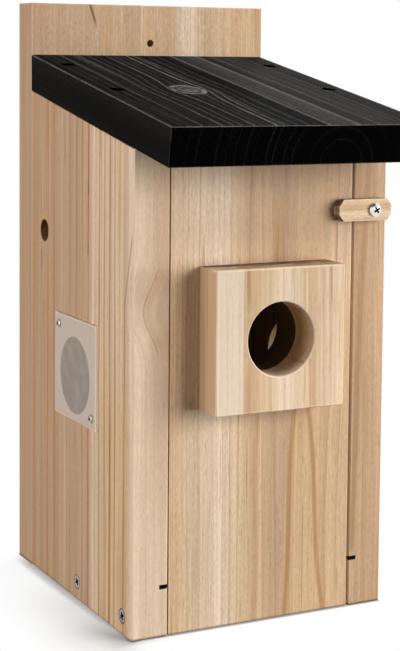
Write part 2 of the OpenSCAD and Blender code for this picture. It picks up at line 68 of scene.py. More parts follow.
# short names for the nodes of a material, so that a recipe reads as a formula
def nodeKit(tree):
    def put(kind, **settings):
        node = tree.nodes.new("ShaderNode" + kind)
        for key, value in settings.items():
            setattr(node, key, value)
        return node

    def feed(socket, value):
        if isinstance(value, bpy.types.NodeSocket):
            tree.links.new(value, socket)
        else:
            socket.default_value = value

    def feedAll(node, *values):
        for socket, value in zip(node.inputs, values):
            feed(socket, value)
        return node.outputs

    def feedNamed(node, **values):
        for name, value in values.items():
            feed(node.inputs[name], value)
        return node.outputs

    def calc(operation, *values):
        return feedAll(put("Math", operation=operation), *values)[0]

    # one operation carried along a row of values
    def folded(operation):
        def fold(first, *others):
            for other in others:
                first = calc(operation, first, other)
            return first
        return fold

    # value * factor + base
    def grow(value, factor, base):
        return calc("MULTIPLY_ADD", value, factor, base)

    # |first - second|
    def apart(first, second):
        return calc("ABSOLUTE", calc("SUBTRACT", first, second))

    def vector(operation, *values):
        outputs = feedAll(put("VectorMath", operation=operation), *values)
        return outputs["Value" if operation == "LENGTH" else "Vector"]

    def join(x, y, z):
        return feedAll(put("CombineXYZ"), x, y, z)[0]

    def split(value):
        return feedAll(put("SeparateXYZ"), value)

    # sqrt(first^2 + second^2)
    def length(first, second):
        return vector("LENGTH", join(first, second, 0.0))

    def noise(place, scale=1.0, detail=2.0, roughness=0.5):
        node = put("TexNoise", noise_dimensions="3D")
        return feedNamed(node, Vector=place, Scale=scale, Detail=detail, Roughness=roughness)

    def noiseLine(place, scale, detail):
        node = put("TexNoise", noise_dimensions="1D")
        return feedNamed(node, W=place, Scale=scale, Detail=detail, Roughness=0.5)[0]

    def cells(place, scale, feature="F1"):
        node = put("TexVoronoi", feature=feature)
        return feedNamed(node, Vector=place, Scale=scale)["Distance"]

    # smooth step from low to high, toLow before and toHigh after; low above high turns it round
    def step(value, low, high, toLow=0.0, toHigh=1.0):
        node = put("MapRange", interpolation_type="SMOOTHSTEP", clamp=True)
        return feedAll(node, value, low, high, toLow, toHigh)[0]

    # the same step from 0 to amount
    def rise(value, low, high, amount):
        return step(value, low, high, 0.0, amount)

    # stops are places from 0 to 1 with a colour or a number each
    def ramp(value, stops):
        node = put("ValToRGB")
        marks = node.color_ramp.elements
        while len(marks) < len(stops):
            marks.new(0.5)
        for mark, (position, colour) in zip(marks, stops):
            mark.position = position
            mark.color = (*colour, 1.0) if isinstance(colour, tuple) else (colour, colour, colour, 1.0)
        return feedAll(node, value)[0]

    def blend(amount, first, second, mode="MIX"):
        node = put("Mix", data_type="RGBA", blend_type=mode, clamp_factor=True)
        feed(node.inputs[0], amount)
        for socket, value in ((node.inputs[6], first), (node.inputs[7], second)):
            feed(socket, (*value, 1.0) if isinstance(value, tuple) else value)
        return node.outputs[2]

    def bump(height, depth, strength):
        return feedNamed(put("Bump"), Height=height, Distance=depth, Strength=strength)[0]

    # object coordinates in millimetres, turned and moved
    def place(move=(0.0, 0.0, 0.0), turn=(0.0, 0.0, 0.0)):
        spot = put("TexCoord").outputs["Object"]
        return feedNamed(put("Mapping"), Vector=spot, Location=move, Rotation=turn,
                         Scale=(perMetre,) * 3)[0]

    tools = (put, feed, calc, grow, apart, vector, join, split, length, noise, noiseLine, cells, step, rise,
             ramp, blend, bump, place)
    return SimpleNamespace(
        times=folded("MULTIPLY"), plus=folded("ADD"), minus=folded("SUBTRACT"), over=folded("DIVIDE"),
        most=folded("MAXIMUM"), least=folded("MINIMUM"), **{tool.__name__: tool for tool in tools},
    )


def newFinish(name):
    material = bpy.data.materials.new(name)
    material.use_nodes = True
    kit = nodeKit(material.node_tree)
    kit.material = material
    kit.shader = material.node_tree.nodes["Principled BSDF"]
    return kit


# fills the shader's sockets and puts the finish on CAD nodes
def dress(kit, nodeNames, sockets):
    for socketName, value in sockets.items():
        kit.feed(kit.shader.inputs[socketName], value)
    for nodeName in nodeNames:
        mesh = nodes[nodeName].data
        mesh.materials.clear()
        mesh.materials.append(kit.material)


def inMillimetres(corners):
    return [Vector(corner) * perMetre for corner in corners]


# soft studio: a large lamp at the front right, weaker ones at the left and behind, and one overhead.
# side and rise are degrees round the box and above the floor; lengths are metres
lamps = dict(
    keyLamp=dict(side=40, rise=4, away=1.3, size=(1.05, 1), power=25.5, colour=(1.0, 0.985, 0.96)),
    leftLamp=dict(side=-86, rise=6, away=1.4, size=(0.9, 0.9), power=16.5, colour=(1.0, 0.985, 0.965)),
    topLamp=dict(side=18, rise=76.3, away=1.5, size=(0.26, 0.26), power=21, colour=(1.0, 1.0, 1.0)),
    backLamp=dict(side=152, rise=2, away=1.5, size=(0.8, 0.8), power=22, colour=(1.0, 0.985, 0.965)),
)

# white sweep under and behind the box, in metres
studio = dict(
    aim=(0, 0, 0.15),
    skyStrength=0.05,
    floorWidth=12,
    floorColour=(0.8, 0.8, 0.8),
    # colour of the painted shade on the paper close to the box
    paintedShadeColour=(0.02, 0.015, 0.012),
    footprint=(0.073, 0.081),  # half the box's width and depth
    plainFrom=(0, 0.056),  # distance from the footprint over which the floor turns plain white
    shadowFade=[(-0.09, -0.03, 0.38), (-0.04, 0.04, 0.25)],  # from front to back the shadow grows fainter
    shadowSide=(-0.078, -0.046),  # it lies at the left of the box,
    shadowAhead=(0, 0.006),
    shadowFront=(-0.088, -0.062),  # in front of it only beside the left corner,
    shadowEnd=(0.06, 0.084),  # and not behind it
    # painted shade: the paper's own colour darkens near the box
    paintedNearShade=(0.018, 0, 0.3),  # the floor is darker close to the box: how far and how much
    nearShadow=(0.009, 0, 0.7),
    # painted contact shadow: a dark line in the paper's colour at the box's foot
    paintedContactLine=(0.001, 0.0001, 0.65),  # dark line where the box meets the floor: its width and strength
)


def hangLamp(name, lamp, aim):
    side, rise = math.radians(lamp["side"]), math.radians(lamp["rise"])
    away = Vector((math.sin(side) * math.cos(rise), -math.cos(side) * math.cos(rise), math.sin(rise)))
    data = bpy.data.lights.new(name, "AREA")
    data.shape = "RECTANGLE"
    data.size, data.size_y = lamp["size"]
    data.energy = lamp["power"]
    data.color = lamp["colour"]
    item = bpy.data.objects.new(name, data)
    item.location = Vector(aim) + away * lamp["away"]
    item.rotation_mode = "QUATERNION"
    item.rotation_quaternion = (-away).to_track_quat("-Z", "Y")
    scene.collection.objects.link(item)


# 1 where the ray comes from the camera, a reflection or a clear piece
def seenRay(kit):
    rays = kit.put("LightPath").outputs
    return kit.most(rays["Is Camera Ray"], rays["Is Glossy Ray"], rays["Is Transmission Ray"])


def lightSky(sweep):
    world = bpy.data.worlds.new("whiteSweep")
    world.use_nodes = True
    scene.world = world
    kit = nodeKit(world.node_tree)
    sky = world.node_tree.nodes["Background"].inputs
    sky["Color"].default_value = (1.0, 1.0, 1.0, 1.0)
    kit.feed(sky["Strength"], kit.step(seenRay(kit), 0.0, 1.0, sweep["skyStrength"], 1.0))


# how much of the box's shadow the paper keeps at a spot that lies reach outside the footprint
def keptShadow(kit, spot, reach, sweep):
    x, y = spot[0], spot[1]
    shadow = kit.step(reach, *sweep["plainFrom"], 1.0, 0.0)
    for front, back, least in sweep["shadowFade"]:
        shadow = kit.times(shadow, kit.step(y, front, back, 1.0, least))
    shadow = kit.most(shadow, kit.rise(reach, *sweep["nearShadow"]))
    ahead = kit.times(kit.step(kit.minus(-sweep["footprint"][1], y), *sweep["shadowAhead"]),
                      kit.step(x, *sweep["shadowFront"]))
    shadow = kit.times(shadow, kit.minus(1.0, ahead))
    for part, fade in ((x, "shadowSide"), (y, "shadowEnd")):
        shadow = kit.times(shadow, kit.step(part, *sweep[fade], 1.0, 0.0))
    return shadow


def layFloor(sweep):
    wide = sweep["floorWidth"] / 2
    mesh = bpy.data.meshes.new("studioFloor")
    corners = [(-wide, -wide, 0.0), (wide, -wide, 0.0), (wide, wide, 0.0), (-wide, wide, 0.0)]
    mesh.from_pydata(corners, [], [(0, 1, 2, 3)])
    floor = bpy.data.objects.new("studioFloor", mesh)
    scene.collection.objects.link(floor)
    floor.visible_diffuse = False  # the paper casts no light back onto the wood
    kit = newFinish("floorPaper")
    spot = kit.split(kit.put("TexCoord").outputs["Object"])
    reach = kit.length(*(kit.most(kit.minus(kit.calc("ABSOLUTE", part), half), 0.0)
                         for part, half in zip(spot, sweep["footprint"])))
    # painted shade: the paper's colour darkens in a line at the box's foot and softly close to it
    contactShade = kit.rise(reach, *sweep["paintedContactLine"])
    dim = kit.most(contactShade, kit.rise(reach, *sweep["paintedNearShade"]))
    dress(kit, [], {
        "Base Color": kit.blend(dim, sweep["floorColour"], sweep["paintedShadeColour"]),
        "Roughness": 1.0, "Specular IOR Level": 0.0,
    })
    mesh.materials.append(kit.material)
    # where no shadow is kept, the paper is plain white to the camera
    plain, mixed, seen = kit.put("Emission"), kit.put("MixShader"), seenRay(kit)
    kit.feed(plain.inputs["Strength"], seen)
    shadow = kit.most(keptShadow(kit, spot, reach, sweep), contactShade)
    far = kit.times(kit.minus(1.0, shadow), seen)
    for socket, value in zip(mixed.inputs, (far, kit.shader.outputs[0], plain.outputs[0])):
        kit.feed(socket, value)
    output = next(node for node in kit.material.node_tree.nodes if node.type == "OUTPUT_MATERIAL")
    kit.feed(output.inputs[0], mixed.outputs[0])


for lampName, lamp in lamps.items():
    hangLamp(lampName, lamp, studio["aim"])
lightSky(studio)
layFloor(studio)
print("studio lit")

# colours of the softwood, from pale sapwood to the dark lines between the years; resin and scorch darken the
# walls of cuts, and resin is also the painted contact shade at a board's foot
tones = dict(
    arris=(0.97, 0.77, 0.56),
    cream=(0.82, 0.665, 0.51),
    ivory=(0.81, 0.62, 0.44),
    pale=(0.8, 0.59, 0.39),
    straw=(0.745, 0.53, 0.33),
    honey=(0.79, 0.53, 0.295),
    gold=(0.69, 0.465, 0.265),
    tan=(0.65, 0.445, 0.275),
    pink=(0.59, 0.395, 0.255),
    fawn=(0.53, 0.342, 0.207),
    toast=(0.54, 0.335, 0.19),
    umber=(0.47, 0.27, 0.135),
    brown=(0.47, 0.29, 0.17),
    amber=(0.43, 0.225, 0.085),
    russet=(0.37, 0.16, 0.055),
    late=(0.32, 0.158, 0.064),
    resin=(0.16, 0.07, 0.015),
    dark=(0.12, 0.065, 0.035),
    scorch=(0.02, 0.012, 0.008),
)

# how every board is drawn. two numbers are where a mark begins and where it is full, a third is how much of
# it shows then, and four are a step from one pair to another
wood = dict(
    bendSize=(70, 260),  # millimetres across and along the grain
    bendReach=4,
    yearWidth=(0.09, 2),  # scale and detail of the noise
    yearStrength=(0.17, 2),
    yearRange=(0.3, 0.7, 0.15, 1),
    yearRamp=[(0, 0.02), (0.55, 0.1), (0.84, 0.6), (0.94, 1), (1, 0.02)],
    # noise drawn out along the grain: spots per millimetre across and along it, offset, detail, roughness
    layers=dict(
        band=(0.22, 0.0025, 11, 2, 0.5),
        line=(0.8, 0.004, 23, 3, 0.7),
        fibre=(1.3, 0.018, 37, 3, 0.65),
        hair=(3.2, 0.05, 51, 2, 0.5),
        dash=(1.1, 0.09, 67, 1, 0.5),
        crack=(0.45, 0.011, 83, 1, 0.5),
        fleck=(1.5, 0.36, 97, 1, 0.5),
    ),
    bandLight=(0.25, 0.75, 0.9, 1.1),
    tints=dict(hair=0.16, fibre=0.4, line=0.25, fleck=-0.45),  # a board may name its own
    patchBand=(0.25, 0.6, 0.6, 1),
    crowd=(0.11, 1),
    crowdRange=(0.36, 0.62, 0.35, 1.25),
    darkLine=(0.5, 0.7),
    paleLine=(0.45, 0.28, 0.35),
    marks=[("fibre", 0.54, 0.72, 0.42, "amber"), ("dash", 0.66, 0.75, 0.48, "amber"),
           ("crack", 0.7, 0.76, 0.5, "late")],
    boldBreak=(0.36, 0.58, 0.55, 1),
    streakWave=18,
    streakBreak=(0.2, 0.55, 0.5, 1),
    core=0.25,  # share of a line's half width that is full
    sideLines=[(0.5, 0.66, 0.5, "late"), (0.44, 0.3, 0.4, "pale")],
    poreScale=(0.07, 0.6, 0.6),
    pores=(1, 4, 0.65),  # scale, detail and roughness of the noise
    endDepth=(0.3, 0.1),
    ends=[("brown", 0.4, 0.6)],
    endAmount=(0.05, 0.95),
    edgeWidth=0.9,
    edgeCore=0.55,
    edgeBreak=(0.3, 0.6),
    # painted contact shade at the bottom of each board
    footShade=(1.8, 0.6, 0.8),  # dark where a board meets the ground
    rough=(0.22, 0.5),
    shine=0.25,
    relief=(0.5, -0.5),
    bump=(0.0002, 0.4),
)

# shared: the saw kerf for the raised floor, with painted shade on its walls, the entrance and the thin
# streaks over it
kerf = dict(kind="kerf", inner=53, deep=4.6, low=25, high=27, paint=("scorch", 0.95))
entrance = dict(at=(0, 151), radius=19)
thinStreak = dict(wave=0.3, width=1, ends=(174, 180), stop=(214, 192))

# one board each, in millimetres. axes names the directions across, through and along the grain; pith is the
# middle of the log across and through the board; zones are tones at places across it; paint is a tone and
# its amount; along, across, ends, stop, span and face are where a mark begins and where it is full
boards = dict(
    door=dict(
        nodes=["front_door"], axes="xyz", pith=(24, -20), taper=0.004, ringGap=2.3, drift=1.2, fine=1.5,
        seed=3.1, rings=0.46, lines=0.42, edges=0.2, underRoofShade=(182, 208, 0.8),
        zones=[(-53, "straw"), (-48, "straw"), (-44, "pale"), (-37, "ivory"), (-31, "ivory"), (-28, "cream"),
               (-26, "arris"), (-24, "arris"), (-22, "cream"), (-17.5, "ivory"), (-13, "pale"),
               (-9.5, "straw"), (-6, "tan"), (0, "straw"), (4, "tan"), (8, "pink"), (14, "pink"),
               (21, "gold"), (40, "gold"), (46, "straw"), (52, "tan")],
        patches=[
            dict(along=(166, 200), across=(-24, -12), paint=("pink", 0.62)),
            dict(along=(172, 205), across=(-14, -24), paint=("arris", 0.4)),
            dict(along=(150, 175), stop=(216, 204), across=(34, 46), paint=("arris", 0.45)),
            dict(along=(74, 60), across=(-45.5, -49.5), paint=("gold", 0.8)),
        ],
        streaks=[
            dict(at=14.6, lean=0.045, wave=0.7, width=2.1, ends=(165, 120), paint=("amber", 0.8)),
            dict(at=38.5, lean=-0.1, wave=-1, width=2, ends=(165, 120), paint=("amber", 0.8)),
            dict(at=-3.4, lean=0.01, wave=0.5, width=2.6, ends=(170, 140), paint=("umber", 0.5)),
            dict(at=-7.6, wave=0.3, width=0.9, ends=(178, 190), paint=("late", 0.4)),
            dict(at=9.8, wave=0.4, width=4.6, ends=(172, 180), stop=(232, 204), paint=("amber", 0.58)),
            dict(at=-3.3, lean=0.06, paint=("late", 0.5), **thinStreak),
            dict(at=23.6, lean=-0.06, paint=("late", 0.4), **thinStreak),
        ],
        cuts=[dict(kind="bore", axis="y", paint=("scorch", 0.9), **entrance)],
    ),
    leftSide=dict(
        nodes=["left_side_panel"], axes="yxz", pith=(150, -20), taper=0.02, ringGap=5.2, drift=1.2,
        fine=0.45, seed=7.7, fleck=-0.35, rings=0.4, lines=0.66, plain=(-80.6, -79.6, 0.3),
        edges=1, edgeHighlightTone="arris", edgeWidth=1.3, edgeFaces=[("y", 20, 0), ("x", -58, -62)],
        zones=[(-85, "ivory"), (-78, "ivory"), (-73, "ivory"), (-66, "pale"), (-60, "pale"), (-50, "ivory"),
               (-44, "pale"), (-38, "pale"), (-34.5, "ivory"), (-30, "ivory"), (-25, "pink"), (-10, "pink"),
               (0, "fawn"), (8, "pink"), (20, "fawn"), (26, "toast"), (36, "toast"), (46, "fawn"),
               (54, "toast"), (62, "toast")],
        bold=[(-71.6, 0.4, 3.4), (-58.5, 0.75, 1.4), (-52, 1, 1.5), (-45, 0.65, 1.6), (-38.5, 0.8, 1.3),
              (-23.5, 1, 1.3), (-15, 0.6, 1.5), (-7.2, 0.6, 1.8), (2.4, 0.5, 1.6), (25, 0.5, 2.2),
              (35, 0.8, 1.3), (45, 0.5, 1.2), (56.5, 0.5, 1.8)],
        patches=[
            dict(along=(150, 100), across=(-35, -42), face=("x", -72.5, -72.8), paint=("honey", 0.85)),
            dict(along=(170, 184), across=(-76, -79), face=("x", -67, -59), paint=("pink", 0.85)),
            dict(along=(40, 110), stop=(158, 150), across=(-76, -79), face=("x", -67, -59),
                 paint=("pink", 0.55)),
            dict(along=(190, 184), stop=(165, 173), across=(-76, -79), face=("x", -60, -66),
                 paint=("fawn", 0.36)),
            dict(along=(162, 152), across=(-76, -79), face=("x", -62, -68), paint=("arris", 0.7)),
        ],
        streaks=[
            dict(at=-70.5, lean=-0.27, bend=168, width=1.2, ends=(208, 202), face=("x", -72.5, -72.8),
                 paint=("late", 0.6)),
            dict(at=-23.3, width=1.1, ends=(228, 225), stop=(218, 222), paint=("dark", 0.8)),
            dict(at=-23.3, width=1.1, ends=(196, 193), stop=(187, 190), paint=("dark", 0.7)),
            dict(at=44.5, width=0.9, ends=(186, 182), stop=(171, 176), paint=("dark", 0.9)),
        ],
        flame=dict(at=166, half=16, reach=9.5, edge=(-79.15, -80.35), wedge=(-58.6, -56.6),
                   wedgeFrom=(0.04, 0.3), wedgeAmount=0.35, arc=-57.8, arcWidth=(0.85, 0.1, 0.36),
                   arcFrom=(0.02, 0.3)),
        cuts=[
            kerf,
            # painted shade inside the cable hole, lighter towards its bottom
            dict(kind="bore", axis="x", at=(40.25, 195), radius=6, low=0.5, paint=("resin", 0.92)),
        ],
    ),
    rightSide=dict(
        nodes=["right_side_panel"], axes="yxz", pith=(-160, 90), taper=0.01, ringGap=4.2, drift=1.6,
        fine=1.1, seed=11.3, rings=0.46, lines=0.52, edges=0.25, underRoofShade=(188, 218, 0.82),
        zones=[(-83, "fawn"), (-80, "fawn"), (-76, "tan"), (-60, "tan"), (-44, "straw"), (-30, "gold"),
               (-12, "ivory"), (0, "pale"), (20, "tan"), (34, "pink"), (46, "fawn"), (61, "pink")],
        bold=[(-56, 0.5, 1.5), (-41, 0.8, 1.3), (-33.5, 0.5, 1.8), (-19, 0.6, 1.3), (4.5, 0.5, 1.6),
              (15, 0.8, 1.4), (29, 0.5, 2), (43, 0.7, 1.3), (55, 0.5, 1.6)],
        patches=[
            dict(along=(60, 110), across=(-79, -80.5), face=("x", 60, 64), paint=("tan", 0.55)),
            # painted shade at the bottom of the front edge, in the corner by the floor
            dict(along=(60, 20), across=(-79, -80.5), face=("x", 66, 71), paint=("late", 0.55)),
        ],
        streaks=[
            dict(over="through", at=54.4, lean=0.022, width=2.6, ends=(26, 34), stop=(190, 150),
                 face=("y", -79.5, -80.6), paint=("late", 0.55)),
            dict(over="through", at=57.8, lean=0.052, bend=153, width=2.8, ends=(150, 190),
                 face=("y", -79.5, -80.6), paint=("late", 0.45)),
        ],
        cuts=[kerf],
    ),
    # the back panel's tones are dimmed by shade: painted shade
    back=dict(
        nodes=["back_panel"], axes="xyz", pith=(-260, 10), taper=0.02, ringGap=4.4, drift=1.2, fine=1,
        seed=17.9, rings=0.54, lines=0.62, edges=0.2, shade=0.63,
        zones=[(-73, "pink"), (-40, "tan"), (0, "tan"), (16, "tan"), (21, "cream"), (29, "cream"),
               (36, "tan"), (52, "pale"), (56, "gold"), (73, "gold")],
        streaks=[dict(at=61.6, lean=-0.31, width=1.3, ends=(306, 313), paint=("dark", 0.9))],
        sides=[dict(axis="x", span=(-72.8, -72.95), paint=("toast", 0.85))],
    ),
    floor=dict(
        nodes=["floor_panel"], axes="yzx", pith=(10, -60), taper=0.03, ringGap=3.8, drift=1.8, fine=1,
        seed=23.5, rings=0.46, lines=0.52, edges=0.3,
        zones=[(-60, "tan"), (-20, "pale"), (20, "gold"), (61, "pink")],
    ),
    block=dict(
        nodes=["guard_block"], axes="xyz", pith=(70, -40), taper=0.01, ringGap=5.2, drift=1.2, fine=1.2,
        seed=29.2, fleck=-0.2, rings=0.42, lines=0.36, plain=(-22, -20, 0.12),
        edges=0.85, edgeHighlightTone="arris", edgeWidth=1.3,
        edgeFaces=[("y", -92, -98), ("z", 114.5, 116.5), ("x", 35.8, 34.5)],
        # endShadeLean: painted shade, the end grain on top of the block darkens towards the door
        ends=[("brown", 0.5, 0.58), ("dark", 0.56, 0.63)], endShadeLean=("y", -96, -84, -0.068, 0.17),
        zones=[(-36.5, "cream"), (-21.2, "cream"), (-20.6, "tan"), (-15, "gold"), (-7, "pale"), (4, "cream"),
               (10, "ivory"), (20, "straw"), (24, "ivory"), (36.5, "ivory")],
        streaks=[
            dict(at=28.5, wave=0.4, width=1.5, ends=(100, 150), paint=("amber", 0.42)),
            dict(at=29.2, wave=0.2, width=0.9, ends=(163, 172), paint=("late", 0.55)),
            dict(at=14, wave=0.2, width=0.8, ends=(112, 125), paint=("late", 0.35)),
            dict(at=-18, wave=0.4, width=1.6, ends=(163, 176), paint=("late", 0.5)),
            dict(at=-18.6, wave=0.3, width=2.4, ends=(142, 126), paint=("brown", 0.5)),
        ],
        sides=[dict(axis="x", span=(-36.3, -36.45), paint=("toast", 0.9))],
        # painted highlight on the bevelled rim of the entrance
        rimHighlight=dict(front=(-99.55, -99.85), **entrance),
    ),
    button=dict(
        nodes=["turn_button"], axes="zyx", pith=(260, -120), taper=0.01, ringGap=2.2, drift=0.6, fine=1.2,
        seed=37, rings=0.42, lines=0.42, edges=0.6,
        zones=[(207, "tan"), (211, "ivory"), (214, "tan"), (219, "straw")],
        # the button's flanks: partly end grain, partly painted shade; its left end, turned away from the key
        # lamp, is painted dark as shade
        sides=[
            dict(axis="y", span=(-86.4, -86.1), paint=("umber", 0.6)),
            dict(axis="y", span=(-86.4, -86.1), face=("x", 46.5, 45), paint=("dark", 0.95)),
        ],
    ),
)


def axisOf(parts, letter):
    return parts["xyz".index(letter)]


# distance from the nearest edge of a box: the second smallest of the three distances to its faces
def edgeGap(kit, parts, low, high):
    a, b, c = (kit.minus((top - bottom) / 2, kit.apart(part, (bottom + top) / 2))
               for part, bottom, top in zip(parts, low, high))
    return kit.most(kit.least(a, b), kit.least(kit.most(a, b), c))


# 1 on one side of a board, turning to it along an axis from start to stop
def faceMark(kit, parts, face):
    if face is None:
        return 1.0
    letter, start, stop = face
    return kit.step(axisOf(parts, letter), start, stop)


# on the edge of a board the grain bows out by reach * bell, bell = exp(-((along - at) / half)^2)
def flameBow(kit, across, through, along, flame):
    rise = kit.over(kit.minus(along, flame["at"]), flame["half"])
    bell = kit.times(kit.calc("EXPONENT", kit.times(rise, rise, -1.0)), kit.step(across, *flame["edge"]))
    through = kit.grow(bell, flame["reach"], through)
    wedge = kit.times(kit.step(bell, *flame["wedgeFrom"]), kit.step(through, *flame["wedge"]))
    arc = kit.times(kit.rise(kit.apart(through, flame["arc"]), *flame["arcWidth"]),
                    kit.step(bell, *flame["arcFrom"]))
    return through, wedge, arc


# solid wood, so that faces, edges and ends agree. across and through are bent a little by noise, then
# ring = length(across - pith, through + taper * along - pith) and year = ring / ringGap + noise(ring);
# late is how dark the year is, growing towards its end
def woodGrain(kit, parts, board):
    across, through, along = (axisOf(parts, letter) for letter in board["axes"])
    seed, shown = board["seed"], {}
    if "flame" in board:
        through, shown["wedge"], shown["arc"] = flameBow(kit, across, through, along, board["flame"])
    wide, far = wood["bendSize"]
    place = kit.join(kit.times(across, 1 / wide), kit.times(through, 1 / wide),
                     kit.grow(along, 1 / far, seed))
    bent = kit.split(kit.vector("SUBTRACT", kit.noise(place, 1.0, 1.0)[1], (0.5, 0.5, 0.5)))
    reach = wood["bendReach"] * board["drift"]
    bentAcross, bentThrough = kit.grow(bent[0], reach, across), kit.grow(bent[1], reach, through)
    ring = kit.length(kit.minus(bentAcross, board["pith"][0]),
                      kit.minus(kit.grow(along, board["taper"], bentThrough), board["pith"][1]))
    year = kit.grow(ring, 1 / board["ringGap"], kit.noiseLine(kit.plus(ring, seed), *wood["yearWidth"]))
    strength = kit.noiseLine(kit.plus(ring, 5 * seed), *wood["yearStrength"])
    late = kit.times(kit.ramp(kit.calc("FRACT", year), wood["yearRamp"]),
                     kit.step(strength, *wood["yearRange"]))
    for layer, (fast, slow, offset, detail, roughness) in wood["layers"].items():
        if layer == "line":
            fast *= board["fine"]
        place = kit.join(kit.times(bentAcross, fast), kit.times(bentThrough, fast),
                         kit.grow(along, slow, seed + offset))
        shown[layer] = kit.noise(place, 1.0, detail, roughness)[0]
    return SimpleNamespace(across=bentAcross, through=through, along=along, late=late, **shown)


# how much of a streak shows: across the board or through it, its middle is
# at + lean * max(along - bend, 0) + wave * sin(along / streakWave)
def streakMark(kit, parts, grain, streak):
    bow = kit.times(kit.calc("SINE", kit.over(grain.along, wood["streakWave"])), streak.get("wave", 0.0))
    above = kit.most(kit.minus(grain.along, streak.get("bend", 0.0)), 0.0)
    middle = kit.plus(kit.grow(above, streak.get("lean", 0.0), streak["at"]), bow)
    gap = kit.apart(getattr(grain, streak.get("over", "across")), middle)
    shape = kit.times(kit.step(gap, streak["width"], wood["core"] * streak["width"]),
                      kit.step(grain.fibre, *wood["streakBreak"]))
    if "stop" in streak:
        shape = kit.times(shape, kit.step(grain.along, *streak["stop"]))
    return kit.times(shape, faceMark(kit, parts, streak.get("face")),
                     kit.rise(grain.along, *streak["ends"], streak["paint"][1]))


# the few lines that stand out: the strongest of their rise(|across - at|, half, core * half, strength),
# broken a little along the grain
def boldMark(kit, grain, bold):
    shown = kit.most(*(kit.rise(kit.apart(grain.across, at), half, wood["core"] * half, strength)
                       for at, strength, half in bold))
    return kit.times(shown, kit.step(grain.crack, *wood["boldBreak"]))


# distance from a line along x or y through the point at
def boreReach(kit, parts, axis, at):
    first = parts[1] if axis == "x" else parts[0]
    return kit.length(kit.minus(first, at[0]), kit.minus(parts[2], at[1]))


# how dark the walls of a cut are painted, with soft limits: within the radius of a bored hole, from low at
# its bottom to full at its top, or within the depth and height of a saw kerf. In the kerf and the cable hole
# this is painted shade
def cutMark(kit, parts, cut):
    amount = cut["paint"][1]
    if cut["kind"] == "bore":
        at, radius = cut["at"], cut["radius"]
        near = kit.step(boreReach(kit, parts, cut["axis"], at), radius + 0.5, radius + 0.2)
        return kit.times(near, kit.step(kit.minus(parts[2], at[1]), -radius, radius,
                                        cut.get("low", amount), amount))
    side, inner, outer = kit.calc("ABSOLUTE", parts[0]), cut["inner"], cut["inner"] + cut["deep"]
    deep = kit.times(kit.step(side, inner + 0.1, inner + 0.3), kit.step(side, outer + 0.25, outer + 0.1))
    high = kit.times(kit.step(parts[2], cut["low"] - 0.2, cut["low"] - 0.05),
                     kit.step(parts[2], cut["high"] + 0.2, cut["high"] + 0.05))
    return kit.times(deep, high, amount)


# tones at places across the board and patches of other tones, times the light of the grain's layers: light =
# step(band) + the sum of tint * (layer - 0.5), times a painted shade under the roof on some boards
def boardColour(kit, parts, grain, board):
    zones = board["zones"]
    low, high = zones[0][0], zones[-1][0]
    spot = kit.over(kit.minus(grain.across, low), high - low)
    colour = kit.ramp(spot, [((at - low) / (high - low), tones[tone]) for at, tone in zones])
    for patch in board.get("patches", []):
        tone, amount = patch["paint"]
        shown = kit.times(kit.rise(grain.along, *patch["along"], amount),
                          kit.step(grain.across, *patch["across"]), faceMark(kit, parts, patch.get("face")))
        if "stop" in patch:
            shown = kit.times(shown, kit.step(grain.along, *patch["stop"]))
        shown = kit.times(shown, kit.step(grain.band, *wood["patchBand"]))
        colour = kit.blend(shown, colour, tones[tone])
    start, stop, dim, bright = wood["bandLight"]
    # shade darkens a whole board: on the back panel it is painted shade
    shade = board.get("shade", 1.0)
    light = kit.step(grain.band, start, stop, dim * shade, bright * shade)
    for layer, tint in wood["tints"].items():
        light = kit.grow(kit.minus(getattr(grain, layer), 0.5), board.get(layer, tint), light)
    # painted shade: the top of the board darkens where the roof overhangs it
    if "underRoofShade" in board:
        start, stop, least = board["underRoofShade"]
        light = kit.times(light, kit.step(grain.along, start, stop, 1.0, least))
    return kit.blend(1.0, colour, kit.join(light, light, light), "MULTIPLY")


# dark ends of the years, lines, dashes and cracks, then the board's own lines and streaks
def grainMarks(kit, parts, grain, board, colour):
    lined = 1.0
    if "plain" in board:
        start, stop, least = board["plain"]
        lined = kit.step(axisOf(parts, board["axes"][0]), start, stop, least, 1.0)

    def darken(colour, amount, tone):
        return kit.blend(kit.times(amount, lined), colour, tones[tone])

    # lines crowd in some places and thin out in others
    crowd = kit.noiseLine(kit.plus(grain.across, 7 * board["seed"]), *wood["crowd"])
    lines = kit.times(kit.rise(grain.line, *wood["darkLine"], board["lines"]),
                      kit.step(crowd, *wood["crowdRange"]))
    colour = darken(colour, kit.times(grain.late, board["rings"]), "amber")
    colour = darken(colour, lines, "amber")
    colour = kit.blend(kit.rise(grain.line, *wood["paleLine"]), colour, tones["cream"])
    for layer, clear, full, amount, tone in wood["marks"]:
        colour = darken(colour, kit.rise(getattr(grain, layer), clear, full, amount), tone)
    if "flame" in board:
        colour = kit.blend(kit.times(grain.wedge, board["flame"]["wedgeAmount"]), colour, tones["toast"])
        colour = kit.blend(grain.arc, colour, tones["late"])
    if "bold" in board:
        colour = darken(colour, boldMark(kit, grain, board["bold"]), "russet")
    for streak in board.get("streaks", []):
        colour = kit.blend(streakMark(kit, parts, grain, streak), colour, tones[streak["paint"][0]])
    return colour
